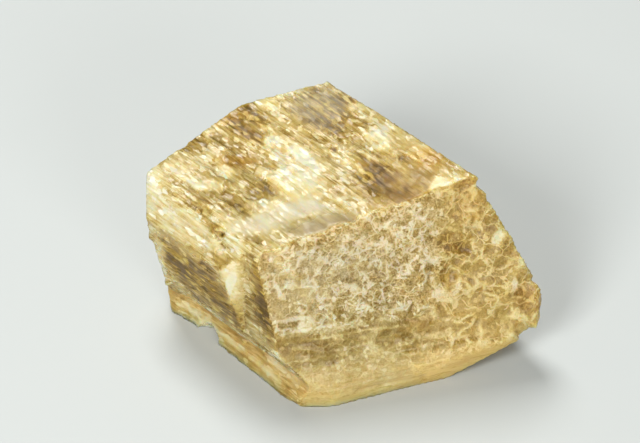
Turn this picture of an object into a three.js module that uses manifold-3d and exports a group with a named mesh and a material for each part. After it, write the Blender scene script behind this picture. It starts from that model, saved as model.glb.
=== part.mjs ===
// One crystal of dipyre, a honey-coloured scapolite: a short, stout, tetragonal prism that lies
// over to the right, etched on its end face and broken off at the back.
// Millimetres, +Z up, +X to the right of the etched front face. The crystal rests on z = 0.

import * as THREE from "three";
import { mergeVertices } from "three/addons/utils/BufferGeometryUtils.js";
import Module from "manifold-3d";

const wasm = await Module();
wasm.setup();

// Faces of the crystal. Each is a plane: the heading its outside looks to, in degrees round from +X,
// its rise above level, and its reach from the crystal's middle on the ground.
const face = (heading, rise, reach) => ({ heading, rise, reach });

const top = face(193, 78.5, 10.08);
const leftBevel = face(215.4, 37, 10.99);
const leftSide = face(220, -10, 6.87);
const front = face(283.2, 18.5, 7.14);
const foot = face(283, 1, 6.99);
const footUndercut = face(289.6, -16, 6.68);
const cornerUndercut = face(239.1, -25, 6.85);
const rightTip = face(342, 2, 11.37);
const rightUnder = face(8, -62, 2.27);
const backRight = face(40.7, 15, 6.88);
const back = face(98, -6, 6.49);
const backLeft = face(131.9, 6, 9.79);
const leftEnd = face(170, -12, 9.12);
const ground = face(0, -90, 0);

const outerFaces = [
  top, leftBevel, leftSide, front, foot, footUndercut, cornerUndercut,
  rightTip, rightUnder, backRight, back, backLeft, leftEnd, ground,
];

// Sharp steps inside the outer faces. Each is what lies outside two planes at once.
const cornerStep = [face(218.1, 0.7, 7.4), face(258.7, -0.6, 5.96)];
const ledgeFloor = face(220, 32, 5.916);
const ledge = [ledgeFloor, face(222.3, -33.6, 4.55)];
const backStep = [face(40.7, 15, 6.4), face(60, -50, -1.13)];

// Long axis of the prism: the growth lines on its side faces all run this way.
const prismAxis = { heading: 308.5, rise: 4.8 };

// Growth lines along the prism axis: long spindles, cut in or left standing, that run out to nothing
// at both ends. across is the stretch they share out over the face, along is how far they shift.
const growth = [
  { on: top, count: 30, across: [-5.4, 6], along: [-6, 5], length: 8, width: 0.9, deep: 0.17 },
  { on: leftBevel, count: 9, across: [0.1, 2.4], along: [-6.5, 0], length: 4.5, width: 0.5, deep: 0.16 },
  { on: leftSide, count: 6, across: [4.3, 8.2], along: [-6.5, -1.5], length: 4, width: 0.6, deep: 0.1 },
  { on: backRight, count: 20, across: [-1.5, 10], along: [-8, 5], length: 8, width: 1.0, deep: 0.2 },
];
const standing = 0.4;

// Etch pits on the front: shallow pyramids side by side, whose rims stand as a net of ridges.
const etch = [
  { u: [-5.6, 4.3], v: [2.7, 9.6], apart: 0.95, wide: 1.45, deep: 0.14, sides: 5 },
  { u: [4.5, 9.1], v: [1.7, 9.2], apart: 1.45, wide: 2.3, deep: 0.24, sides: 6 },
];

// Courses of short level ledges low on the front, like rough brickwork, and long ones on the foot.
const courses = { u: [-4.6, 7.6], rows: [0.55, 1.15, 1.7, 2.3], length: 1.9, width: 0.5, deep: 0.13 };
const footLedges = { u: [-3.6, 2.6], rows: [0.7, 1.35, 2.1], length: 4.6, width: 0.5, deep: 0.13 };
const ledgeTip = 16;

// Shell-shaped scars where the crystal broke from the rock, on the hidden back and underneath.
const scars = [
  { on: backLeft, u: -2.2, v: 2.2, radius: 7, deep: 0.55 },
  { on: backLeft, u: 1.6, v: 5.6, radius: 5, deep: 0.4 },
  { on: backLeft, u: 1.2, v: 2.4, radius: 4, deep: 0.3 },
  { on: back, u: 0.4, v: 3.4, radius: 8, deep: 0.5 },
  { on: back, u: -4.4, v: 6.4, radius: 5, deep: 0.35 },
  { on: back, u: 5.2, v: 6.6, radius: 5, deep: 0.4 },
  { on: leftEnd, u: -1.2, v: 5.2, radius: 5, deep: 0.35 },
  { on: leftEnd, u: 1.8, v: 2.6, radius: 4, deep: 0.3 },
  { on: rightUnder, u: -3.4, v: 3.8, radius: 5, deep: 0.35 },
  { on: rightUnder, u: 0.6, v: 2.6, radius: 6, deep: 0.45 },
];

// Chips out of the edges and a deep pit in the bevel, each a small rough ball of missing stone.
const chips = [
  { on: top, u: -6.1, v: -5.9, height: 0.35, size: 1.5 },
  { on: top, u: -5.4, v: 6.6, height: 0.3, size: 1.3 },
  { on: top, u: 0.6, v: 7.9, height: 0.4, size: 1.4 },
  { on: top, u: -1.92, v: 1.97, height: 0.08, size: 0.4 },
  { on: leftBevel, u: -1.3, v: 2.3, height: 0.1, size: 0.95 },
  { on: leftBevel, u: -0.7, v: 1.7, height: 0.1, size: 0.7 },
  { on: leftSide, u: -3.4, v: 1.2, height: 0.25, size: 1.9 },
  { on: front, u: 9.2, v: 4.6, height: 0.3, size: 1.3 },
  { on: front, u: 8.6, v: 0.3, height: 0.3, size: 1.5 },
  { on: foot, u: 2.9, v: 0.2, height: 0.2, size: 1.4 },
];

// Knobs along the left rim, where the side meets the broken end.
const rim = { count: 12, low: 2.1, high: 6.5, size: 0.72 };

const blockSide = 60;

// Placing on a face

function direction(heading, rise) {
  const h = THREE.MathUtils.degToRad(heading);
  const r = THREE.MathUtils.degToRad(rise);
  return new THREE.Vector3(Math.cos(r) * Math.cos(h), Math.cos(r) * Math.sin(h), Math.sin(r));
}

function axesOf(plane) {
  const out = direction(plane.heading, plane.rise);
  const h = THREE.MathUtils.degToRad(plane.heading);
  const right = new THREE.Vector3(-Math.sin(h), Math.cos(h), 0);
  const up = new THREE.Vector3().crossVectors(out, right);
  return { out, right, up };
}

// Position on a face: u to its right and v up its slope from the foot of its reach, then the height
// above it, a turn about its outward axis and a tip about the turned X, in degrees.
function placeOn(plane, { u, v, height = 0, turn = 0, tip = 0 }) {
  const { out, right, up } = axesOf(plane);
  const at = out.clone().multiplyScalar(plane.reach + height);
  at.addScaledVector(right, u);
  at.addScaledVector(up, v);
  const matrix = new THREE.Matrix4().makeBasis(right, up, out).setPosition(at);
  matrix.multiply(new THREE.Matrix4().makeRotationZ(THREE.MathUtils.degToRad(turn)));
  return matrix.multiply(new THREE.Matrix4().makeRotationX(THREE.MathUtils.degToRad(tip)));
}

// Slope of the prism axis on a face, from the face's right, in degrees.
function axisAngle(plane) {
  const { right, up } = axesOf(plane);
  const axis = direction(prismAxis.heading, prismAxis.rise);
  return THREE.MathUtils.radToDeg(Math.atan(axis.dot(up) / axis.dot(right)));
}

// Repeatable unevenness between -0.5 and 0.5.
function uneven(seed) {
  const wave = Math.sin(seed * 12.9898 + 4.1414) * 43758.5453;
  return wave - Math.floor(wave) - 0.5;
}

function between([low, high], part) {
  return low + (high - low) * part;
}

// Solids for cutting and joining

function solid(geometry, matrix) {
  geometry.applyMatrix4(matrix);
  geometry.deleteAttribute("normal");
  geometry.deleteAttribute("uv");
  const merged = mergeVertices(geometry, 1e-5);
  const triVerts = Uint32Array.from(merged.index.array);
  const vertProperties = Float32Array.from(merged.attributes.position.array);
  return new wasm.Manifold(new wasm.Mesh({ numProp: 3, vertProperties, triVerts }));
}

// Everything within a block's side outside a face.
function beyond(plane) {
  const slab = new THREE.BoxGeometry(blockSide, blockSide, blockSide);
  return solid(slab, placeOn(plane, { u: 0, v: 0, height: blockSide / 2 }));
}

function notch([first, second]) {
  return beyond(first).intersect(beyond(second));
}

// The block cut by every outer face but one, which is the room that a ridge on that one stands in.
function roomOver(plane) {
  let room = solid(new THREE.BoxGeometry(blockSide, blockSide, blockSide), new THREE.Matrix4());
  for (const other of outerFaces.filter((one) => one !== plane)) {
    room = room.subtract(beyond(other));
  }
  return room;
}

// A pyramid sunk point-down into a face.
function pit(plane, place, wide, deep, sides) {
  const lip = 0.5;
  const flare = (wide / 2) * (1 + lip / deep);
  const cone = new THREE.ConeGeometry(flare, deep + lip, sides);
  cone.rotateX(-Math.PI / 2);
  return solid(cone, placeOn(plane, { ...place, height: (lip - deep) / 2 }));
}

// A long shape with four sides that comes to a point at both ends, half in and half out of a face.
function spindle(plane, place, length, width, deep) {
  const shape = new THREE.OctahedronGeometry(1);
  shape.scale(length / 2, width / 2, deep);
  return solid(shape, placeOn(plane, place));
}

// A long box, tipped about its length, whose lower edge cuts into a face.
function ledgeCut(plane, place, length, width, deep) {
  const box = new THREE.BoxGeometry(length, width, 2);
  box.translate(0, 0, 1);
  const sunk = Math.sin(THREE.MathUtils.degToRad(ledgeTip)) * (width / 2);
  return solid(box, placeOn(plane, { ...place, height: sunk - deep, tip: ledgeTip }));
}

// A ball pressed into a face.
function scar({ on, u, v, radius, deep }) {
  const ball = new THREE.IcosahedronGeometry(radius, 4);
  return solid(ball, placeOn(on, { u, v, height: radius - deep }));
}

// A rough lump of few faces, about a point.
function lump(matrix, size, seed) {
  const rough = new THREE.DodecahedronGeometry(size / 2);
  rough.rotateX(seed);
  rough.rotateZ(2 * seed);
  rough.scale(1 + 0.5 * uneven(seed), 1 + 0.5 * uneven(seed + 7), 1 + 0.5 * uneven(seed + 11));
  return solid(rough, matrix);
}

// The whole crystal, face by face

let crystal = roomOver(null);

// Growth lines on the prism's side faces: first the ones cut in, then the ones left standing
for (const [g, set] of growth.entries()) {
  const turn = axisAngle(set.on);
  const t = THREE.MathUtils.degToRad(turn);
  const ridges = [];
  for (let i = 0; i < set.count; i += 1) {
    const seed = 40 * g + i;
    const across = between(set.across, (i + 0.5 + 0.8 * uneven(seed)) / set.count);
    const along = between(set.along, 0.5 + uneven(seed + 0.37));
    const u = along * Math.cos(t) - across * Math.sin(t);
    const v = along * Math.sin(t) + across * Math.cos(t);
    const length = set.length * (1 + 0.8 * uneven(seed + 0.71));
    const width = set.width * (1 + 0.9 * uneven(seed + 0.53));
    const deep = set.deep * (1 + 0.9 * uneven(seed + 0.19));
    const place = { u, v, turn, tip: 20 * uneven(seed + 0.83) };
    if (i % 3 === 2) {
      ridges.push(spindle(set.on, place, length, width, deep * standing));
    } else {
      crystal = crystal.subtract(spindle(set.on, place, length, width, deep));
    }
  }
  const room = roomOver(set.on);
  for (const ridge of ridges) {
    crystal = crystal.add(ridge.intersect(room));
  }
}

// Steps inside the outer faces, and the scars of the break
for (const step of [cornerStep, ledge, backStep]) {
  crystal = crystal.subtract(notch(step));
}
for (const one of scars) {
  crystal = crystal.subtract(scar(one));
}

// Etch pits on the front, in staggered rows
for (const [g, set] of etch.entries()) {
  const rows = Math.round((set.v[1] - set.v[0]) / (set.apart * 0.87));
  const columns = Math.round((set.u[1] - set.u[0]) / set.apart);
  for (let row = 0; row <= rows; row += 1) {
    for (let column = 0; column <= columns; column += 1) {
      const seed = 900 * g + 31 * row + column;
      const stagger = row % 2 ? 0.5 : 0;
      const u = between(set.u, (column + stagger + 0.6 * uneven(seed)) / columns);
      const v = between(set.v, (row + 0.6 * uneven(seed + 0.4)) / rows);
      const wide = set.wide * (1 + 0.5 * uneven(seed + 0.8));
      const deep = set.deep * (1 + 0.9 * uneven(seed + 0.6));
      const place = { u, v, turn: 360 * uneven(seed + 0.2) };
      crystal = crystal.subtract(pit(front, place, wide, deep, set.sides));
    }
  }
}

// Level ledges low on the front and on the foot
for (const [plane, set] of [[front, courses], [foot, footLedges]]) {
  for (const [row, v] of set.rows.entries()) {
    const count = Math.round((set.u[1] - set.u[0]) / set.length);
    for (let i = 0; i <= count; i += 1) {
      const seed = 500 + 17 * row + i;
      const u = between(set.u, (i + (row % 2) / 2 + 0.5 * uneven(seed)) / count);
      const length = set.length * (1 + 0.7 * uneven(seed + 0.3));
      const deep = set.deep * (1 + 0.8 * uneven(seed + 0.6));
      const place = { u, v: v + 0.2 * uneven(seed + 0.9), turn: 8 * uneven(seed + 0.5) };
      crystal = crystal.subtract(ledgeCut(plane, place, length, set.width, deep));
    }
  }
}

// Chips, and the knobs of the rim
for (const [i, chip] of chips.entries()) {
  crystal = crystal.subtract(lump(placeOn(chip.on, chip), chip.size, i));
}
const side = axesOf(leftSide);
const end = axesOf(leftEnd);
const rimLine = new THREE.Vector3().crossVectors(side.out, end.out);
const rimMatrix = new THREE.Matrix3();
rimMatrix.set(...side.out.toArray(), ...end.out.toArray(), 0, 0, 1);
rimMatrix.invert();
for (let i = 0; i < rim.count; i += 1) {
  const height = between([rim.low, rim.high], (i + 0.6 * uneven(i + 300)) / (rim.count - 1));
  const at = new THREE.Vector3(leftSide.reach, leftEnd.reach, height).applyMatrix3(rimMatrix);
  at.addScaledVector(side.out, -0.16);
  at.addScaledVector(end.out, -0.16);
  const size = rim.size * (1 + 0.6 * uneven(i + 320));
  crystal = crystal.add(lump(new THREE.Matrix4().makeTranslation(at.x, at.y, at.z), size, i + 340));
}

// The group for export

function meshOf(manifold, name, material) {
  const { vertProperties, triVerts } = manifold.getMesh();
  const geometry = new THREE.BufferGeometry();
  geometry.setAttribute("position", new THREE.BufferAttribute(Float32Array.from(vertProperties), 3));
  geometry.setIndex(new THREE.BufferAttribute(Uint32Array.from(triVerts), 1));
  geometry.computeVertexNormals();
  const mesh = new THREE.Mesh(geometry, material);
  mesh.name = name;
  return mesh;
}

const honey = new THREE.MeshStandardMaterial({ color: 0xb2a479, roughness: 0.35, metalness: 0 });
const mesh = meshOf(crystal, "dipyre_crystal", honey);

// The origin stands under the middle of the crystal's box.
mesh.geometry.computeBoundingBox();
const middle = mesh.geometry.boundingBox.getCenter(new THREE.Vector3());
mesh.geometry.translate(-middle.x, -middle.y, 0);

const specimen = new THREE.Group();
specimen.add(mesh);

export default specimen;
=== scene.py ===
"""A loose crystal of dipyre on a plain pale table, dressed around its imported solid. Metres, +Z up."""

import math

import bpy
import numpy as np
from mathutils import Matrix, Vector, noise


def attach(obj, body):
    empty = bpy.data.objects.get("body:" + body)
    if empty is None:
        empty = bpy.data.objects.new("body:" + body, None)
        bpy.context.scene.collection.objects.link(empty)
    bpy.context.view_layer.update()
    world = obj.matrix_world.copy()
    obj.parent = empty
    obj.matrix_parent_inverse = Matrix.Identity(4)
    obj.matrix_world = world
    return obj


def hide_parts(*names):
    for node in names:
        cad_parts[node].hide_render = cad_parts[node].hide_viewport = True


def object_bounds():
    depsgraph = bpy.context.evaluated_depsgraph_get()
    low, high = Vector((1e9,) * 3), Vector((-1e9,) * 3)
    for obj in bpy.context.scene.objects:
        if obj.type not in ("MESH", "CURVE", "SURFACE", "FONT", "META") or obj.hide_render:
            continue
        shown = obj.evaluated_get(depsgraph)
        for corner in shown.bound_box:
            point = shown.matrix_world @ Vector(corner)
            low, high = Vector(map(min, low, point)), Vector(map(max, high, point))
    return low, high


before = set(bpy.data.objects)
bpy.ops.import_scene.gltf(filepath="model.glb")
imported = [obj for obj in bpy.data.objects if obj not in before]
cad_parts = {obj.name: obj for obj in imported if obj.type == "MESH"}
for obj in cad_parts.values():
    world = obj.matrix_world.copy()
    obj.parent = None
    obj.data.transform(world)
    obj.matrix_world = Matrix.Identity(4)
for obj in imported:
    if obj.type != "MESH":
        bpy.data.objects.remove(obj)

cad_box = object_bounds()

# The crystal
# One loose crystal of dipyre, a honey-coloured scapolite. It grew as a ridged four-sided prism, its
# end face was etched by hot water into a net of fine crests, and its back broke off the rock.

MM = 0.001


def face(heading, rise, reach):
    """A plane of the crystal: where its outside looks to in degrees, and its reach in millimetres."""
    h, r = math.radians(heading), math.radians(rise)
    out = np.array([math.cos(r) * math.cos(h), math.cos(r) * math.sin(h), math.sin(r)])
    right = np.array([-math.sin(h), math.cos(h), 0.0])
    return {"out": out, "right": right, "up": np.cross(out, right), "reach": reach}


faces = {
    "top": face(193, 78.5, 10.08),
    "bevel": face(215.4, 37, 10.99),
    "side": face(220, -10, 6.87),
    "back_right": face(40.7, 15, 6.88),
    "back_step": face(40.7, 15, 6.4),
    "corner_wall": face(218.1, 0.7, 7.4),
    "front": face(283.2, 18.5, 7.14),
    "foot": face(283, 1, 6.99),
    "foot_undercut": face(289.6, -16, 6.68),
    "corner_undercut": face(239.1, -25, 6.85),
    "corner_riser": face(258.7, -0.6, 5.96),
    "ledge_floor": face(220, 32, 5.916),
    "tip": face(342, 2, 11.37),
    "under": face(8, -62, 2.27),
    "back": face(98, -6, 6.49),
    "back_left": face(131.9, 6, 9.79),
    "end": face(170, -12, 9.12),
    "ground": face(0, -90, 0),
}
names = list(faces)

# What made each face: growth drew lines along the prism, hot water etched the front, the tip and the
# back broke, and the rest is smooth.
LINED = ["top", "bevel", "side", "back_right", "back_step", "corner_wall", "corner_riser"]
BROKEN = ["tip", "under", "back", "back_left", "end"]
SMOOTH = ["foot", "foot_undercut", "corner_undercut", "ledge_floor"]
AXIS_HEADING = 308.5
AXIS_RISE = 4.8
PRISM_AXIS = face(AXIS_HEADING, AXIS_RISE, 0)["out"]

# The side of the mesh's squares, fine enough for the etch net and coarse enough for 200,000 triangles.
MESH_STEP = 0.112


def refined(node):
    """A copy of a solid's mesh in millimetres, rebuilt from even squares so that it takes fine relief."""
    mesh = node.data.copy()
    mesh.transform(node.matrix_world)
    for vertex in mesh.vertices:
        vertex.co /= MM
    work = bpy.data.objects.new("work", mesh)
    bpy.context.scene.collection.objects.link(work)
    squares = work.modifiers.new("squares", "REMESH")
    squares.mode = "VOXEL"
    squares.voxel_size = MESH_STEP
    depsgraph = bpy.context.evaluated_depsgraph_get()
    fine = bpy.data.meshes.new_from_object(work.evaluated_get(depsgraph))
    bpy.data.objects.remove(work)
    return fine


def swirl(places, size):
    """Smooth noise between about -1 and 1 at each place, with lumps of a size in millimetres, which is
    one number or one for each direction. Places moved by a number give another noise of the same kind."""
    return np.array([noise.noise(place) for place in places / np.array(size)])


def cells(places, size):
    """The cells of a size in millimetres: each place's distance from the wall between two cells, which
    is 0 on the wall, and a number from 0 to 1 that its cell has to itself."""
    gap = np.empty(len(places))
    own = np.empty(len(places))
    for i, place in enumerate(places / np.array(size)):
        distances, centres = noise.voronoi(place)
        gap[i] = distances[1] - distances[0]
        own[i] = noise.cell(centres[0] * 37.0)
    return gap, own


def smooth(low, high, value):
    """A soft step from 0 at one value to 1 at another."""
    t = np.clip((value - low) / (high - low), 0, 1)
    return t * t * (3 - 2 * t)


stone_mesh = refined(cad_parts["dipyre_crystal"])
stone_mesh.name = "dipyre_stone"
count = len(stone_mesh.vertices)
points = np.empty(count * 3)
normals = np.empty(count * 3)
stone_mesh.vertices.foreach_get("co", points)
stone_mesh.vertices.foreach_get("normal", normals)
points = points.reshape(-1, 3)
normals = normals.reshape(-1, 3)

# How much each point belongs to each face: it lies near the face's plane and looks its way. Across an
# edge one face passes into the next over about these distances, in millimetres and in turn.
NEAR_PLANE = 0.3
NEAR_TURN = 0.14
score = np.stack([
    -((points @ f["out"] - f["reach"]) / NEAR_PLANE) ** 2 - ((1 - normals @ f["out"]) / NEAR_TURN) ** 2
    for f in faces.values()
], 1)
score -= score.max(1, keepdims=True)
belongs = np.exp(score)
belongs /= belongs.sum(1, keepdims=True)


def share(*group):
    """How much each point belongs to a group of faces, from 0 to 1."""
    return belongs[:, [names.index(name) for name in group]].sum(1)


def on(name):
    """Each point's millimetres to the right and up the slope of a face."""
    return points @ faces[name]["right"], points @ faces[name]["up"]


lined_share = share(*LINED)
broken_share = share(*BROKEN)
front_share = share("front")
ledge_share = share("ledge_floor", "corner_undercut")

# Each point's place along the prism, across it on its own face, and outwards.
out = belongs @ np.array([f["out"] for f in faces.values()])
out /= np.linalg.norm(out, axis=1, keepdims=True)
along = points @ PRISM_AXIS
across = (points * np.cross(out, PRISM_AXIS)).sum(1)
lie = np.stack([along, across, (points * out).sum(1)], 1)

# Growth lines: fine ribs along the prism axis, and thin plates that end in ragged steps, with smaller
# chips among them. Here and below, heights and sizes are in millimetres, and a size with three numbers
# is along the prism, across it and outwards.
RIB = 0.020
RIB_SIZE = (4.0, 0.34, 2.0)
FINE_RIB = 0.012
FINE_RIB_SIZE = (2.0, 0.17, 2.0)
PLATE = 0.08
PLATE_SIZE = (2.0, 0.75, 1.6)
CHIP = 0.035
CHIP_SIZE = (0.8, 0.38, 0.8)
ribs = RIB * (1 - 2 * np.abs(swirl(lie, RIB_SIZE))) + FINE_RIB * swirl(lie, FINE_RIB_SIZE)
bent = lie + 0.15 * swirl(points + 5, 0.8)[:, None]
plate_gap, plate = cells(bent, PLATE_SIZE)
chip_gap, chip = cells(bent + 9, CHIP_SIZE)
step = PLATE * plate * smooth(0.0, 0.10, plate_gap) + CHIP * chip * smooth(0.0, 0.12, chip_gap)
lined = ribs + step

# The etch net: thin crests between shallow cells, fine on the left of the front, and large on the
# right, where the deepest cells are pools. Low on the front the net fades into level courses, whose
# size is along the front, up it and outwards.
NET_CELL = 0.62
LARGE_CELL = 1.35
CREST = 0.08
POOL = 0.08
DIMPLE = 0.04
HUMP = 0.08
COURSE = 0.05
COURSE_SIZE = (1.5, 0.26, 1.0)
u, v = on("front")
warp = np.stack([swirl(points + moved, 0.9) for moved in (7, 17, 27)], 1)
big_cells = smooth(3.3, 5.0, u + 0.9 * warp[:, 1])
fine_gap = cells(points + 0.35 * warp, NET_CELL)[0]
big_gap, big_cell = cells(points + 0.5 * warp + 50, LARGE_CELL)
fine_crest = (1 - smooth(0.02, 0.22, fine_gap)) * smooth(-0.25, 0.25, swirl(points + 90, 0.8))
big_crest = (1 - smooth(0.01, 0.11, big_gap)) * smooth(-0.5, 0.1, swirl(points + 95, 1.2))
pool = smooth(0.10, 0.55, big_gap) * smooth(0.35, 0.65, big_cell) * big_cells
frosted = smooth(1.8, 3.2, v + 0.7 * warp[:, 0] + 0.7 * smooth(3, 9, u))
crest = fine_crest * (1 - big_cells) * (0.35 + 0.65 * frosted) + big_crest * big_cells
low = (1 - frosted) * (1 - big_cells)
course = np.maximum(swirl(np.stack([u, v, 0 * u], 1) + 3, COURSE_SIZE), -0.2)
etched = CREST * crest - POOL * pool + DIMPLE * swirl(points, 0.4) + HUMP * swirl(points + 45, 1.3)
etched += COURSE * course * low

# Broken faces: smooth scoops that meet in sharp crests, with ripples around where the break began, a
# few stepped scars, and small hackles.
BREAK_START = np.array([-10.0, 3.0, 11.0])
RIPPLE = 0.04
RIPPLE_APART = 0.7
SCOOP = 0.6
SCOOP_SIZE = 2.6
SCAR = 0.25
SCAR_SIZE = 3.2
HACKLE = 0.03
ripple = np.linalg.norm(points - BREAK_START, axis=1) + 0.5 * swirl(points + 21, 1.8)
ripple = np.abs(ripple / RIPPLE_APART % 1 - 0.5) * 2
scoop = np.abs(swirl(points + 140, SCOOP_SIZE)) + 0.5 * np.abs(swirl(points + 150, 1.2))
scar_gap, scar = cells(points + 0.8 * warp + 130, SCAR_SIZE)
broken = -SCOOP * scoop + RIPPLE * ripple + SCAR * (scar - 1) * smooth(0, 0.06, scar_gap)
broken += HACKLE * swirl(points + 11, 0.4)

# Scoops and growth lines are shallow near an edge, so that the stone never gets thin there. Each
# point's distance from the second nearest face is its distance from an edge.
gaps = np.stack([np.abs(points @ f["out"] - f["reach"]) for f in faces.values()], 1)
from_edge = np.sort(gaps, 1)[:, 1]
broken *= 0.06 + 0.94 * smooth(0.1, 2.2, from_edge)
lined *= 0.35 + 0.65 * smooth(0.0, 0.6, from_edge)

# The smooth faces have shallow waves along the prism.
WAVE_SIZE = (2.4, 0.5, 2.0)
FOOT_WAVE = 0.02
LEDGE_WAVE = 0.06
LEDGE_LUMP = 0.05
waves = swirl(lie, WAVE_SIZE)
height = lined_share * lined + front_share * etched + broken_share * broken
height += share("foot", "foot_undercut") * FOOT_WAVE * waves
height += ledge_share * (LEDGE_WAVE * waves + LEDGE_LUMP * swirl(points + 33, 0.6))

# Edges are worn back a little, with nicks that are smaller on the smooth faces.
WEAR = 0.06
NICK = 0.09
wear_and_edge_highlight = 1 - belongs.max(1)
nicks = np.maximum(swirl(points + 40, 0.55), -0.2) + 0.5 * np.maximum(swirl(points + 41, 0.25), 0)
height -= wear_and_edge_highlight * (WEAR + NICK * nicks * (1 - 0.7 * share(*SMOOTH)))
height *= 1 - share("ground")
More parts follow.
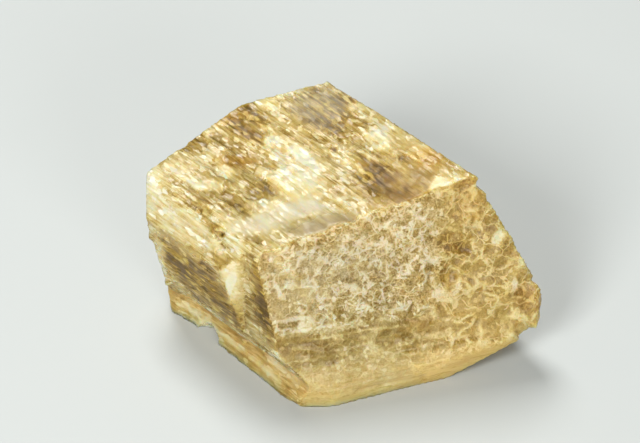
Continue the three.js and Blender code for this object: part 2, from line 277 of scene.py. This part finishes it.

# Marks inside the stone: white veils of tiny cracks, with painted highlights and glints among them,
# smoky places where the eye looks down into the stone, together with painted shade and dark
# reflections, grey haze, rust soaked in along cracks, and calm places where the growth lines or the net
# are faint. Each has the face it shows through, its middle, its two half lengths, its turn and strength.
# The growth lines on the top are turned by ALONG_TOP.
ALONG_TOP = 25.9
inner_marks = {
    # White veils of cracks, with painted highlights and glints among them, such as the riser's hot spot and
    # the ledge's rim.
    "veil_and_highlight": [
        ("top", -2.2, -5.2, 0.9, 0.35, 60, 0.9),
        ("top", -2.9, -4.1, 0.55, 0.4, 30, 1.0),
        ("top", -4.3, -1.1, 0.5, 0.4, 40, 1.7),
        ("top", -2.1, 0.2, 1.2, 0.3, ALONG_TOP, 2.2),
        ("top", -1.5, -0.2, 2.2, 1.1, ALONG_TOP, 0.6),
        ("top", -2.4, 4.8, 0.4, 0.5, 0, 1.1),
        ("top", -1.6, 4.4, 1.0, 0.7, 20, 0.7),
        ("top", 3.4, 6.6, 0.5, 0.6, 80, 2.2),
        ("top", 3.7, 7.7, 0.4, 0.3, 90, 0.9),
        ("top", 1.9, 2.0, 1.1, 0.3, ALONG_TOP, 0.9),
        ("top", 0.8, 4.9, 0.8, 0.5, ALONG_TOP, 0.4),
        ("top", -5.0, 3.6, 1.2, 0.3, 70, 0.4),
        ("top", -6.4, 1.1, 0.3, 0.25, 70, 0.9),
        ("top", -7.5, 1.0, 0.3, 2.2, 5, 0.5),
        ("top", -3.3, -7.2, 1.5, 1.1, ALONG_TOP, 0.45),
        ("top", 0.4, -0.6, 1.6, 1.5, ALONG_TOP, 0.45),
        ("top", 2.0, -2.2, 0.8, 2.8, 0, 0.8),
        ("bevel", -4.0, 1.3, 3.4, 0.8, 5.7, 0.75),
        ("bevel", -7.2, 1.3, 0.9, 0.8, 0, 0.75),
        ("side", -6.4, 5.6, 0.35, 2.4, -6, 1.0),
        ("side", -4.9, 2.1, 1.7, 0.35, -20, 0.9),
        ("side", -2.4, 3.2, 1.6, 0.4, 20, 0.4),
        ("corner_riser", -5.2, 7.0, 0.55, 1.4, 0, 0.8),
        ("corner_riser", -5.05, 6.5, 0.22, 0.9, -15, 1.3),
        ("corner_riser", -4.8, 5.6, 0.35, 0.9, 0, 0.4),
        ("ledge_floor", -1.6, -3.0, 4.2, 0.12, 0, 1.0),
        ("ledge_floor", 1.6, -3.1, 0.7, 0.12, 0, 0.8),
        ("ledge_floor", -4.2, -3.0, 1.1, 0.3, 0, 0.9),
        ("corner_undercut", 0.2, 4.2, 0.4, 0.5, 0, 1.4),
        ("corner_undercut", -1.2, 6.9, 0.4, 0.5, 0, 1.0),
        ("front", -4.0, 3.2, 1.1, 0.11, 0, 2.0),
        ("front", -3.4, 2.5, 1.4, 0.09, 3, 1.0),
        ("front", -1.2, 1.9, 1.6, 0.08, 2, 0.8),
        ("front", 0.8, 1.6, 0.8, 0.45, 0, 0.5),
        ("front", 7.4, 6.1, 0.4, 0.25, 50, 1.7),
        ("front", 8.2, 3.1, 0.2, 0.35, 0, 1.7),
        ("front", 4.9, 3.5, 0.5, 0.3, 60, 0.9),
    ],
    # Smoky places, with painted shade on the side and the corner wall, painted dark reflections on the top,
    # and a painted dark pit.
    "smoke_and_shade": [
        ("top", -5.5, -2.2, 1.5, 0.5, ALONG_TOP, 0.8),
        ("top", -5.0, 1.8, 1.5, 1.3, ALONG_TOP, 0.5),
        ("top", -6.2, -1.4, 0.8, 0.4, ALONG_TOP, 0.5),
        ("top", -5.4, 3.3, 0.9, 0.7, 0, 0.5),
        ("top", 1.0, 3.7, 1.8, 0.8, ALONG_TOP, 0.4),
        ("top", 3.9, 4.7, 1.2, 1.3, 60, 0.4),
        ("top", 2.0, 4.8, 2.8, 1.9, ALONG_TOP, 0.45),
        ("top", -5.8, 2.0, 1.9, 1.5, ALONG_TOP, 0.4),
        ("top", -0.3, -2.1, 1.2, 0.6, ALONG_TOP, 0.5),
        ("top", 0.2, -3.9, 1.1, 0.6, ALONG_TOP, 0.5),
        ("top", 3.6, -0.1, 0.6, 1.9, 0, 0.5),
        ("top", -0.7, -6.1, 0.9, 0.5, 20, 0.5),
        ("top", -1.9, 2.0, 0.16, 0.14, 0, 1.5),
        ("bevel", -1.6, 2.6, 0.5, 0.5, 0, 1.2),
        ("bevel", -0.4, 1.4, 0.8, 0.5, 0, 0.4),
        ("side", -2.8, 6.2, 3.2, 1.9, -10, 0.62),
        ("side", -0.9, 5.0, 1.4, 1.8, 30, 0.35),
        ("side", -4.5, 4.8, 1.8, 2.2, 0, 0.4),
        ("corner_wall", 2.4, 6.8, 1.0, 3.6, 10, 0.95),
        ("corner_riser", -4.6, 3.8, 0.5, 1.1, 0, 0.5),
        ("front", 4.5, 6.4, 0.5, 0.5, 0, 0.5),
        ("front", 5.3, 6.0, 0.4, 0.4, 0, 0.45),
        ("front", 4.1, 4.8, 0.4, 0.4, 0, 0.45),
        ("front", -1.0, 1.6, 4.0, 0.5, 2, 0.3),
    ],
    "haze": [
        ("top", -5.8, 2.0, 1.9, 1.5, ALONG_TOP, 0.9),
        ("top", 2.0, -2.2, 0.9, 2.9, 0, 0.5),
        ("top", 3.6, -0.1, 0.8, 2.1, 0, 0.8),
        ("front", -1.6, 5.8, 3.4, 1.5, 0, 0.3),
    ],
    "rust": [
        ("top", -3.4, -3.3, 1.2, 0.5, 60, 0.6),
        ("top", 0.8, 6.6, 1.2, 0.8, 30, 0.7),
        ("top", -7.0, -2.7, 0.5, 1.0, 0, 0.5),
        ("top", 0.7, 1.1, 1.1, 0.4, 40, 0.4),
        ("front", 6.2, 8.4, 1.1, 1.2, -40, 0.4),
        ("front", 8.9, 2.3, 0.7, 0.8, 0, 0.4),
        ("tip", 0.0, 7.0, 2.0, 2.0, 0, 0.3),
    ],
    "calm": [
        ("top", 3.4, 5.2, 2.6, 2.4, 60, 0.9),
        ("top", 2.0, -2.2, 1.0, 3.0, 0, 1.2),
        ("top", 3.6, -0.1, 0.8, 2.1, 0, 1.1),
        ("top", 0.4, -0.4, 1.4, 1.4, ALONG_TOP, 0.6),
        ("top", -0.4, 7.0, 2.4, 1.2, 60, 0.8),
        ("corner_riser", -5.0, 6.6, 0.8, 2.0, 0, 0.7),
        ("front", -4.2, 4.2, 1.3, 2.4, 0, 0.45),
        ("front", 6.2, 1.6, 3.2, 1.2, 0, 0.4),
    ],
}
SOFTNESS = {"veil_and_highlight": 0.35, "smoke_and_shade": 0.65, "haze": 0.4, "rust": 0.5, "calm": 0.4}
RAGGEDNESS = 0.3
ragged = swirl(points + 60, 0.7) + 0.5 * swirl(points + 70, 0.3)


def patch(soft, name, u0, v0, long, wide, turn):
    """How strongly each point lies in a ragged oval on a face: how gradual its edge is, its middle, its
    two half lengths in millimetres and its turn in degrees up from the face's right."""
    u, v = on(name)
    c, s = math.cos(math.radians(turn)), math.sin(math.radians(turn))
    a = ((u - u0) * c + (v - v0) * s) / long
    b = ((v - v0) * c - (u - u0) * s) / wide
    return smooth(1 + soft, 1 - soft, np.hypot(a, b) + RAGGEDNESS * ragged) * share(name)


inner = {
    kind: sum(strength * patch(SOFTNESS[kind], *where) for *where, strength in places)
    for kind, places in inner_marks.items()
}
calm_share = np.minimum(inner["calm"], 1)
height -= 0.7 * calm_share * lined_share * lined

# How light the stone is at each point: veils are light, with their painted highlights, and worn edges
# are painted light as edge highlights, but not those of the shaded side and ledge. Smoke with its
# painted shade is dark, pools are painted dark as shade in the deep cells, and the ledge is dark.
shaded_edge = share("side", "corner_wall", "ledge_floor", "corner_undercut", "foot_undercut")
light = inner["veil_and_highlight"] - inner["smoke_and_shade"] - 0.4 * pool * front_share - 0.15 * ledge_share
light += 0.5 * wear_and_edge_highlight * (1 - np.minimum(1.6 * shaded_edge, 1))

# The foot swells a little where it stands furthest forward, so its corner is blunt.
SWELL = 0.4
FOOT_CORNER = np.array([-1.0, -7.2])
FOOT_SWELL_SIZE = np.array([2.2, 1.2])
from_corner = (points[:, :2] - FOOT_CORNER) / FOOT_SWELL_SIZE
swell = SWELL * np.exp(-(from_corner ** 2).sum(1))
points[:, 1] -= swell * smooth(3.0, 0.5, points[:, 2])

# The broken end swells too, near the ground under the side, so that its outline runs down unbroken.
END_CORNER = 0.9
END_SWELL_SIZE = 1.3
swell = SWELL * np.exp(-((points[:, 1] - END_CORNER) / END_SWELL_SIZE) ** 2)
swell *= smooth(-8.2, -9.0, points[:, 0])
points[:, 0] -= swell * smooth(2.4, 1.3, points[:, 2])

# The relief is applied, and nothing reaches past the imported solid's box.
points += out * height[:, None]
points = np.clip(points, np.array(cad_box[0]) / MM, np.array(cad_box[1]) / MM)
stone_mesh.vertices.foreach_set("co", (points * MM).ravel())

# What the material reads at each point: which kind of face it is on, and the marks there.
lined_step = lined_share * (plate - 0.5) * (1 - 0.8 * calm_share)
# On broken faces the scoops are painted darker and the scars and ripples lighter, as shade and light on
# their relief.
broken_relief_shade = broken_share * (0.9 * scar + 0.4 * ripple - 1.4 * scoop - 0.1)
golden = front_share * big_cells * (1 - 0.7 * np.clip(inner["veil_and_highlight"], 0, 1))
marks = {
    "lined": lined_share + 0.8 * ledge_share,
    "etched": front_share,
    "broken": broken_share,
    "smooth": share("foot", "foot_undercut", "ground") + 0.2 * ledge_share,
    "ledge": ledge_share,
    "crest": crest * front_share,
    "frost": frosted * front_share * (1 - 0.8 * big_cells),
    "gold": golden + share("tip", "under") * 0.8,
    "step": lined_step + broken_relief_shade,
    "light": light,
    "rust": inner["rust"] + 0.55 * ledge_share,
    "calm": calm_share,
    "smoke_and_shade": np.clip(inner["smoke_and_shade"], 0, 1),
    "haze": np.clip(inner["haze"], 0, 1),
    "low": low * front_share,
    "course": course * low * front_share,
}
for name, values in marks.items():
    attribute = stone_mesh.attributes.new(name, "FLOAT", "POINT")
    attribute.data.foreach_set("value", values.astype(np.float32))
stone_mesh.update()
for polygon in stone_mesh.polygons:
    polygon.use_smooth = True
stone = bpy.data.objects.new("dipyre_stone", stone_mesh)
bpy.context.scene.collection.objects.link(stone)


def linear(code):
    """The linear colour of an sRGB hex value."""
    def channel(i):
        c = int(code[i:i + 2], 16) / 255
        return c / 12.92 if c <= 0.04045 else ((c + 0.055) / 1.055) ** 2.4
    return (channel(0), channel(2), channel(4), 1)


def add(tree, kind, inputs=None, **settings):
    """A node of a kind, with its settings, and its inputs as values, as nodes or as (node, output)."""
    node = tree.nodes.new("ShaderNode" + kind)
    for name, value in settings.items():
        setattr(node, name, value)
    for name, value in (inputs or {}).items():
        if isinstance(value, bpy.types.Node):
            value = (value, 0)
        if isinstance(value, tuple) and isinstance(value[0], bpy.types.Node):
            tree.links.new(value[0].outputs[value[1]], node.inputs[name])
        else:
            node.inputs[name].default_value = value
    return node


def dipyre():
    """Scapolite: a glassy, honey-coloured crystal, clouded by cracks, silky along its growth lines and
    frosted where it was etched. It lets light through, and flakes of it flash white, partly through
    their own tilt and partly through glints painted into its colour."""
    material = bpy.data.materials.new("dipyre")
    material.use_nodes = True
    tree = material.node_tree
    tree.nodes.clear()
    mark = {name: (add(tree, "Attribute", attribute_name=name), "Fac") for name in marks}

    # How long and wide each pattern's marks are, in millimetres. They lie along the prism, or level
    # along the front, which looks 13.2 degrees to the right of straight ahead. Real growth lines and
    # frosting are finer, and the streaks and the grain are as coarse as they need to be to show.
    prism_turn = (0, -math.radians(AXIS_RISE), math.radians(AXIS_HEADING))
    front_turn = (0, 0, math.radians(13.2))
    pattern_sizes = {
        "streak": (2.4, 0.12, prism_turn),
        "flake": (0.45, 0.18, prism_turn),
        "cloud": (2.2, 1.1, prism_turn),
        "pull": (0.7, 0.7, prism_turn),
        "net": (0.56, 0.48, front_turn),
        "fold": (1.3, 0.95, front_turn),
        "grain": (0.11, 0.11, prism_turn),
        "painted_sparkle": (0.2, 0.2, prism_turn),
        "lump": (0.5, 0.5, prism_turn),
        "course": (2.8, 0.3, front_turn),
    }
    place = (add(tree, "TexCoord"), "Object")
    laid = {
        name: add(tree, "Mapping", {
            "Vector": place, "Rotation": turn, "Scale": (long * MM, wide * MM, wide * MM),
        }, vector_type="TEXTURE")
        for name, (long, wide, turn) in pattern_sizes.items()
    }

    # Growth lines and flakes along the prism. The lines show in some places, and clouds of cracks hide
    # them in others.
    streak = add(tree, "TexNoise", {
        "Vector": laid["streak"], "Scale": 1.0, "Detail": 3.0, "Roughness": 0.7,
    })
    flake = add(tree, "TexVoronoi", {"Vector": laid["flake"], "Scale": 1.0}, feature="F1")
    flake_split = add(tree, "SeparateColor", {"Color": (flake, "Color")})
    # Some flakes are painted white in the colour below, as glints.
    flash = add(tree, "MapRange", {"Value": (flake_split, "Red"), "From Min": 0.80, "From Max": 0.92})
    cloud = add(tree, "TexNoise", {
        "Vector": laid["cloud"], "Scale": 1.0, "Detail": 4.0, "Roughness": 0.6,
    })
    cloud_split = add(tree, "SeparateColor", {"Color": (cloud, "Color")})
    silk = add(tree, "MapRange", {
        "Value": (cloud_split, "Green"), "From Min": 0.38, "From Max": 0.62, "To Min": 0.5, "To Max": 2.0,
    })

    # The etch net, with cells half a millimetre across that are pulled out of shape. It is faint low
    # on the front and at the golden end.
    pull = add(tree, "TexNoise", {"Vector": laid["pull"], "Scale": 1.0, "Detail": 1.5})
    net_place = add(tree, "VectorMath", {
        0: (pull, "Color"), 1: (1.0, 1.0, 1.0), 2: laid["net"],
    }, operation="MULTIPLY_ADD")
    net_wall = add(tree, "TexVoronoi", {"Vector": net_place, "Scale": 1.0}, feature="DISTANCE_TO_EDGE")
    net = add(tree, "MapRange", {
        "Value": net_wall, "From Min": 0.01, "From Max": 0.10, "To Min": 1.0, "To Max": 0.0,
    }, interpolation_type="SMOOTHSTEP")
    shown = add(tree, "MapRange", {"Value": pull, "From Min": 0.42, "From Max": 0.58})
    for name, hidden in {"low": 0.75, "gold": 0.85}.items():
        left = add(tree, "Math", {0: mark[name], 1: -hidden, 2: 1.0}, operation="MULTIPLY_ADD")
        shown = add(tree, "Math", {0: shown, 1: left}, operation="MULTIPLY")
    net = add(tree, "Math", {0: net, 1: shown}, operation="MULTIPLY")
    cell = add(tree, "TexVoronoi", {"Vector": net_place, "Scale": 1.0}, feature="F1")

    # The large cells of the golden end, about a millimetre across, with thin curved folds between
    # them in some places, and with some cells deep and painted dark as shade in their hollows.
    fold_place = add(tree, "VectorMath", {
        0: (pull, "Color"), 1: (0.9, 0.9, 0.9), 2: laid["fold"],
    }, operation="MULTIPLY_ADD")
    fold_wall = add(tree, "TexVoronoi", {"Vector": fold_place, "Scale": 1.0}, feature="DISTANCE_TO_EDGE")
    fold = add(tree, "MapRange", {
        "Value": fold_wall, "From Min": 0.015, "From Max": 0.055, "To Min": 1.0, "To Max": 0.0,
    }, interpolation_type="SMOOTHSTEP")
    pull_split = add(tree, "SeparateColor", {"Color": (pull, "Color")})
    folded = add(tree, "MapRange", {"Value": (pull_split, "Blue"), "From Min": 0.4, "From Max": 0.5})
    painted_deep_shade = add(tree, "MapRange", {
        "Value": fold_wall, "From Min": 0.06, "From Max": 0.3,
    }, interpolation_type="SMOOTHSTEP")
    large_cell = add(tree, "TexVoronoi", {"Vector": fold_place, "Scale": 1.0}, feature="F1")
    large_split = add(tree, "SeparateColor", {"Color": (large_cell, "Color")})
    deep_cell = add(tree, "MapRange", {"Value": (large_split, "Red"), "From Min": 0.6, "From Max": 0.9})
    for where in (mark["gold"], folded):
        fold = add(tree, "Math", {0: fold, 1: where}, operation="MULTIPLY")
    for where in (deep_cell, mark["gold"]):
        painted_deep_shade = add(tree, "Math", {0: painted_deep_shade, 1: where}, operation="MULTIPLY")

    # The frosting's grain and glints painted on it as sparkles, lumps on the broken faces, and level
    # courses on the foot with thin dark lines between them.
    grain = add(tree, "TexNoise", {"Vector": laid["grain"], "Scale": 1.0, "Detail": 1.5})
    spark_cell = add(tree, "TexVoronoi", {"Vector": laid["painted_sparkle"], "Scale": 1.0}, feature="F1")
    spark_split = add(tree, "SeparateColor", {"Color": (spark_cell, "Color")})
    painted_sparkle = add(tree, "MapRange", {"Value": (spark_split, "Red"), "From Min": 0.84, "From Max": 0.94})
    lump = add(tree, "TexNoise", {
        "Vector": laid["lump"], "Scale": 1.0, "Detail": 4.0, "Roughness": 0.6,
    })
    course = add(tree, "TexNoise", {"Vector": laid["course"], "Scale": 1.0, "Detail": 2.0})
    level_line = add(tree, "Math", {0: course, 1: 0.5}, operation="SUBTRACT")
    level_line = add(tree, "Math", {0: level_line}, operation="ABSOLUTE")
    level_line = add(tree, "MapRange", {
        "Value": level_line, "From Min": 0.0, "From Max": 0.035,
    }, interpolation_type="SMOOTHSTEP")

    # Where the stone is calm its lines, net, grain and flashes are faint. Haze, and smoke with its painted
    # shade, show the lines more, and the frosting is weaker low on the front and at the golden end.
    calm = add(tree, "Math", {0: mark["calm"], 1: -0.85, 2: 1.0}, operation="MULTIPLY_ADD")
    for name, more in {"haze": 1.6, "smoke_and_shade": 0.9}.items():
        silk = add(tree, "Math", {0: mark[name], 1: more, 2: silk}, operation="MULTIPLY_ADD")
    silk = add(tree, "Math", {0: silk, 1: calm}, operation="MULTIPLY")
    flash = add(tree, "Math", {0: flash, 1: calm}, operation="MULTIPLY")
    net = add(tree, "Math", {0: net, 1: calm}, operation="MULTIPLY")
    coarse = 1.0
    for name, less in {"low": 0.65, "gold": 0.4}.items():
        coarse = add(tree, "Math", {0: mark[name], 1: -less, 2: coarse}, operation="MULTIPLY_ADD")
    coarse = add(tree, "Math", {0: coarse, 1: calm}, operation="MULTIPLY")
    painted_sparkle = add(tree, "Math", {0: painted_sparkle, 1: coarse}, operation="MULTIPLY")
    silky_lines = add(tree, "Math", {0: streak, 1: 0.5}, operation="SUBTRACT")
    silky_lines = add(tree, "Math", {0: silky_lines, 1: silk}, operation="MULTIPLY")
    frosting = add(tree, "Math", {0: grain, 1: 0.5}, operation="SUBTRACT")
    frosting = add(tree, "Math", {0: frosting, 1: coarse}, operation="MULTIPLY")

    # How light each kind of face is, from 0, clear and dark, to 1, white: where it starts, and how
    # much each pattern adds. Flashes and sparkles are painted glints, the crests, net and folds are
    # lighter partly as painted highlights, and the deep cells are painted shade.
    lightness = add(tree, "Math", {0: mark["light"], 1: 0.34, 2: 0.04}, operation="MULTIPLY_ADD")
    lights = {
        "lined": (0.0, [(silky_lines, 1.0), (cloud, 1.0), (flash, 0.35)]),
        "etched": (0.06, [
            (frosting, 1.2), (fold, 0.55), (painted_deep_shade, -0.16), (mark["gold"], 0.05), (mark["low"], -0.05),
            (mark["frost"], 0.06), (cloud, 0.5), (net, 0.5), (mark["crest"], 0.6), (painted_sparkle, 0.55),
            (mark["course"], 0.24),
        ]),
        "broken": (-0.04, [(lump, 1.0)]),
        "smooth": (0.2, [(course, 0.4), (level_line, 0.2)]),
    }
    for name, (own, parts) in lights.items():
        for part, more in parts:
            own = add(tree, "Math", {0: part, 1: more, 2: own}, operation="MULTIPLY_ADD")
        lightness = add(tree, "Math", {0: mark[name], 1: own, 2: lightness}, operation="MULTIPLY_ADD")
    # Raised plates and the raised parts of broken faces are lighter and the scoops darker: painted light
    # and shade on the relief.
    lightness = add(tree, "Math", {0: mark["step"], 1: 0.15, 2: lightness}, operation="MULTIPLY_ADD")

    # The honey colour, from clear and dark to white, and what rust, the golden end, the frosting, the
    # smooth foot, smoke with its painted shade, and haze make of it.
    honey = add(tree, "ValToRGB", {"Fac": lightness})
    ramp = honey.color_ramp
    for position, code in [(0.22, "a8893a"), (0.45, "d2bb74"), (0.68, "f0e0a6")]:
        ramp.elements.new(position).color = linear(code)
    ramp.elements[0].color = linear("6e5814")
    ramp.elements[-1].position = 0.95
    ramp.elements[-1].color = linear("fff6d6")
    colour = (honey, "Color")
    tints = {"rust": "f8dc9c", "gold": "f2e8c2", "frost": "f6f2ec", "smooth": "fdeecb", "smoke_and_shade": "ecdc78"}
    for name, code in tints.items():
        tint = {0: mark[name], 6: colour, 7: linear(code)}
        colour = (add(tree, "Mix", tint, data_type="RGBA", blend_type="MULTIPLY"), 2)
    haze = add(tree, "Math", {0: mark["haze"], 1: 0.55}, operation="MULTIPLY")
    colour = (add(tree, "Mix", {0: haze, 6: colour, 7: linear("b6ae92")}, data_type="RGBA"), 2)

    # How rough the glassy stone is, and how much rougher each kind of place.
    roughness = 0.10
    rougher = {"etched": 0.18, "smooth": 0.2, "broken": 0.08, "smoke_and_shade": 0.35, "ledge": 0.3}
    for name, more in rougher.items():
        roughness = add(tree, "Math", {0: mark[name], 1: more, 2: roughness}, operation="MULTIPLY_ADD")
    roughness = add(tree, "Math", {0: cloud, 1: 0.15, 2: roughness}, operation="MULTIPLY_ADD")

    # Each flake and each etched cell looks its own way, so that some of them flash. They do so less on
    # smooth faces, in smoke and painted shade, at the golden end and where the stone is calm.
    lively = 0.8
    for name, less in {"smooth": 0.8, "smoke_and_shade": 0.4, "gold": 0.25}.items():
        lively = add(tree, "Math", {0: mark[name], 1: -less, 2: lively}, operation="MULTIPLY_ADD",
                     use_clamp=True)
    lively = add(tree, "Math", {0: lively, 1: calm}, operation="MULTIPLY")
    tilt = add(tree, "Mix", {0: mark["lined"], 4: (cell, "Color"), 5: (flake, "Color")}, data_type="VECTOR")
    tilt = add(tree, "VectorMath", {0: (tilt, 1), 1: (0.5, 0.5, 0.5)}, operation="SUBTRACT")
    tilt = add(tree, "VectorMath", {0: tilt, "Scale": lively}, operation="SCALE")
    facing = (add(tree, "NewGeometry"), "Normal")
    tilt = add(tree, "VectorMath", {0: tilt, 1: facing}, operation="ADD")
    tilt = add(tree, "VectorMath", {0: tilt}, operation="NORMALIZE")

    # Relief too fine for the mesh, on each kind of face, in millimetres.
    reliefs = {
        "lined": [(streak, 0.04)],
        "etched": [(net, 0.04), (fold, 0.07), (grain, 0.05)],
        "broken": [(lump, 0.05)],
        "smooth": [(course, 0.04)],
    }
    relief = 0.0
    for name, parts in reliefs.items():
        own = 0.0
        for part, more in parts:
            own = add(tree, "Math", {0: part, 1: more, 2: own}, operation="MULTIPLY_ADD")
        relief = add(tree, "Math", {0: mark[name], 1: own, 2: relief}, operation="MULTIPLY_ADD")
    bump = add(tree, "Bump", {"Strength": 1.0, "Distance": MM, "Height": relief, "Normal": tilt})

    surface = add(tree, "BsdfPrincipled", {
        "Base Color": colour,
        "Roughness": roughness,
        "IOR": 1.55,
        "Specular IOR Level": 0.25,
        "Transmission Weight": 0.5,
        "Subsurface Weight": 1.0,
        "Subsurface Radius": (1.0, 0.75, 0.4),
        "Subsurface Scale": 1.1 * MM,
        "Normal": bump,
    })
    inside = add(tree, "VolumeAbsorption", {"Color": linear("e8cc88"), "Density": 60.0})
    add(tree, "OutputMaterial", {"Surface": surface, "Volume": inside})
    return material


stone.data.materials.clear()
stone.data.materials.append(dipyre())
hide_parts("dipyre_crystal")
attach(stone, "root")

# The table
# A plain pale board that the crystal lies on, painted matt and without joints, 1.2 m square so that
# it fills the view.

TABLE_HALF = 0.6
table_corners = [
    (-TABLE_HALF, -TABLE_HALF, 0),
    (TABLE_HALF, -TABLE_HALF, 0),
    (TABLE_HALF, TABLE_HALF, 0),
    (-TABLE_HALF, TABLE_HALF, 0),
]
table_mesh = bpy.data.meshes.new("table")
table_mesh.from_pydata(table_corners, [], [(0, 1, 2, 3)])
table = bpy.data.objects.new("table", table_mesh)
bpy.context.scene.collection.objects.link(table)

# Matt paint, which gives the eye an even pale grey and hardly any reflection of the crystal.
paint = bpy.data.materials.new("pale_matt_board")
paint.use_nodes = True
paint_surface = paint.node_tree.nodes["Principled BSDF"]
paint_surface.inputs["Base Color"].default_value = linear("a8acaa")
paint_surface.inputs["Roughness"].default_value = 0.7
table_mesh.materials.append(paint)

# Light
# Three soft boxes in a pale room: the main one at the front left, one above the back, and a weak one
# low at the front right.

MIDDLE = Vector((0, 0, 0.006))
BOX_SIDE = 0.12


def soft_box(name, place, power):
    """A square lamp at a place in metres, of a power in watts, that looks at the crystal's middle."""
    light = bpy.data.lights.new(name, "AREA")
    light.shape = "SQUARE"
    light.size = BOX_SIDE
    light.energy = power
    lamp = bpy.data.objects.new(name, light)
    lamp.location = place
    lamp.rotation_euler = (MIDDLE - Vector(place)).to_track_quat("-Z", "Y").to_euler()
    bpy.context.scene.collection.objects.link(lamp)


soft_box("key", (-0.14, -0.26, 0.22), 1.5)
soft_box("over", (-0.06, 0.14, 0.28), 1.0)
soft_box("fill", (0.13, -0.28, 0.11), 0.5)

room = bpy.data.worlds.new("room")
room.use_nodes = True
room_light = room.node_tree.nodes["Background"]
room_light.inputs["Color"].default_value = linear("cfccc4")
room_light.inputs["Strength"].default_value = 0.35
bpy.context.scene.world = room
bpy.context.scene.view_settings.view_transform = "Standard"

# The camera
# It looks 40 degrees down on the etched front from 30 cm, through a long lens.

DISTANCE = 0.300
LOOK_DOWN = math.radians(40)
AIM = Vector((-0.00129, 0.00205, 0.0050))
VIEW_WIDTH = 0.0352
SENSOR_MM = 36.0
camera_data = bpy.data.cameras.new("camera")
camera_data.sensor_width = SENSOR_MM
camera_data.lens = SENSOR_MM * DISTANCE / VIEW_WIDTH
camera_data.clip_start = 0.01
camera = bpy.data.objects.new("camera", camera_data)
camera.location = AIM + DISTANCE * Vector((0, -math.cos(LOOK_DOWN), math.sin(LOOK_DOWN)))
camera.rotation_euler = (math.pi / 2 - LOOK_DOWN, 0, 0)
bpy.context.scene.collection.objects.link(camera)
bpy.context.scene.camera = camera

# Closing
# The scene is brought up to date, and closed.

bpy.context.view_layer.update()
